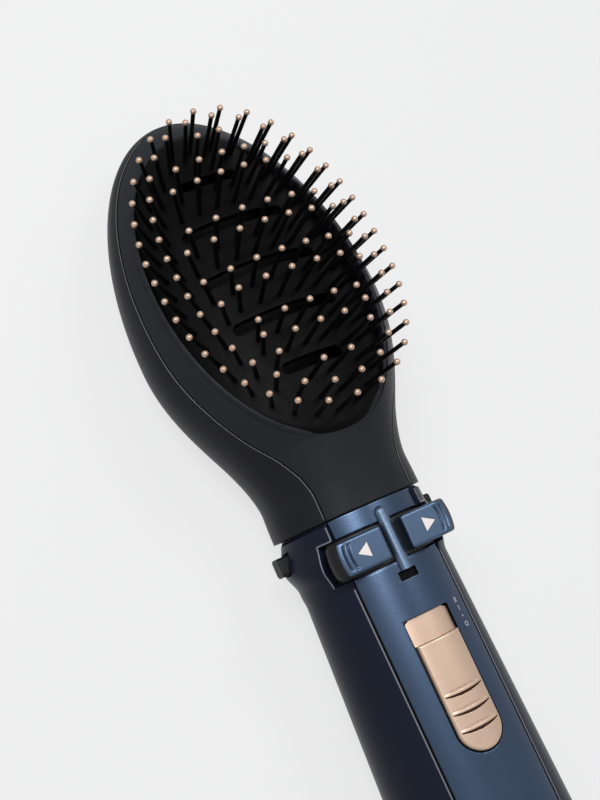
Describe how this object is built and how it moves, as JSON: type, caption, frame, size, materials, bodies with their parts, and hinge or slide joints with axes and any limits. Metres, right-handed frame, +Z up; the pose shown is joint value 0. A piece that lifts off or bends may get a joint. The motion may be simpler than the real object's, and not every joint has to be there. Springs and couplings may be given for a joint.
{
  "type": "rotating hot air brush",
  "caption": "Hand-held hot air brush with a round handle, a power slider, a two-way rotation switch and a detachable vented paddle head with ball-tipped pins.",
  "frame": {"origin": "middle of the whole part's bounding box in X and Y, at the height of the surface it lies on", "axes": "+Y along the handle towards the head, +Z up, the way the pins point, +X to the right seen from the pins' side with the head away"},
  "size_m": [0.0764, 0.322, 0.0658],
  "materials": {
    "navy": "dark navy satin-gloss moulded shell",
    "blue": "metallic blue satin paint on a moulded panel",
    "black": "black matt nylon",
    "gold": "rose-gold metallic paint",
    "print": "pale print",
    "nylon": "dark moulded nylon",
    "spring_steel": "bright steel",
    "board": "green circuit board",
    "mica": "mica sheet",
    "wire": "resistance wire",
    "mesh": "fine steel mesh",
    "head_plastic": "near-black satin-gloss plastic",
    "tips": "pinkish ball tips",
    "seal": "black rubber",
    "knob_grey": "dark grey plastic"
  },
  "bodies": {
    "handle": {"side_shell": "navy", "front_panel": "blue", "front_collar": "blue", "centre_bar": "blue", "notch_window": "black", "slot_plate": "gold", "dial_marks": "print", "attach_socket": "nylon", "centring_spring": "spring_steel", "switch_board": "board", "selector_switch": "nylon", "reversing_switch": "nylon", "air_duct": "mica", "spindle_bearing": "nylon", "gearbox": "spring_steel", "turning_motor": "spring_steel", "heater_frame": "mica", "heater_winding": "wire", "thermal_cutout": "print", "fan_shroud": "nylon", "motor_mount": "nylon", "fan_motor": "spring_steel", "power_board": "board", "rear_cap": "navy", "inlet_grille": "nylon", "dust_filter": "mesh", "gland_seat": "nylon", "case_screws": "spring_steel"},
    "head": {"head_front_shell": "head_plastic", "head_back_shell": "head_plastic", "vent_pad": "black", "pin_bed": "black", "pin_tips": "tips", "head_spigot": "nylon", "seal_ring": "seal", "air_guide": "nylon", "head_screws": "spring_steel"},
    "rotation_switch": {"switch_carrier": "nylon", "left_pad": "blue", "right_pad": "blue", "left_arrow": "print", "right_arrow": "print"},
    "power_slider": {"power_slider": "gold", "slide_carriage": "nylon"},
    "left_knob": {"left_knob": "knob_grey", "left_knob_spring": "spring_steel"},
    "right_knob": {"right_knob": "knob_grey", "right_knob_spring": "spring_steel"},
    "fan_rotor": {"motor_shaft": "spring_steel", "fan_impeller": "nylon"},
    "spindle": {"drive_spindle": "spring_steel"},
    "gland": {"cord_gland": "seal"}
  },
  "joints": [
    {"name": "head_pull", "type": "slide", "parent": "handle", "child": "head", "axis": [0, 1, 0], "range_m": [0, 0.025]},
    {"name": "switch_turn", "type": "hinge", "parent": "handle", "child": "rotation_switch", "pos_m": [0, 0.0174, 0.0252], "axis": [0, 1, 0], "range_deg": [-3, 3], "stiffness_Nm_per_rad": 0.6},
    {"name": "slider_slide", "type": "slide", "parent": "handle", "child": "power_slider", "axis": [0, 0.9992, -0.04], "range_m": [0, 0.0072]},
    {"name": "left_knob_press", "type": "slide", "parent": "handle", "child": "left_knob", "axis": [1, 0, 0], "range_m": [0, 0.002], "stiffness_N_per_m": 600},
    {"name": "right_knob_press", "type": "slide", "parent": "handle", "child": "right_knob", "axis": [-1, 0, 0], "range_m": [0, 0.002], "stiffness_N_per_m": 600},
    {"name": "fan_spin", "type": "hinge", "parent": "handle", "child": "fan_rotor", "pos_m": [0, -0.0975, 0.0252], "axis": [0, 1, 0], "continuous": true},
    {"name": "spindle_spin", "type": "hinge", "parent": "handle", "child": "spindle", "pos_m": [0, 0.009, 0.0252], "axis": [0, 1, 0], "continuous": true},
    {"name": "gland_swivel", "type": "hinge", "parent": "handle", "child": "gland", "pos_m": [0, -0.153, 0.0252], "axis": [0, 1, 0], "continuous": true}
  ]
}
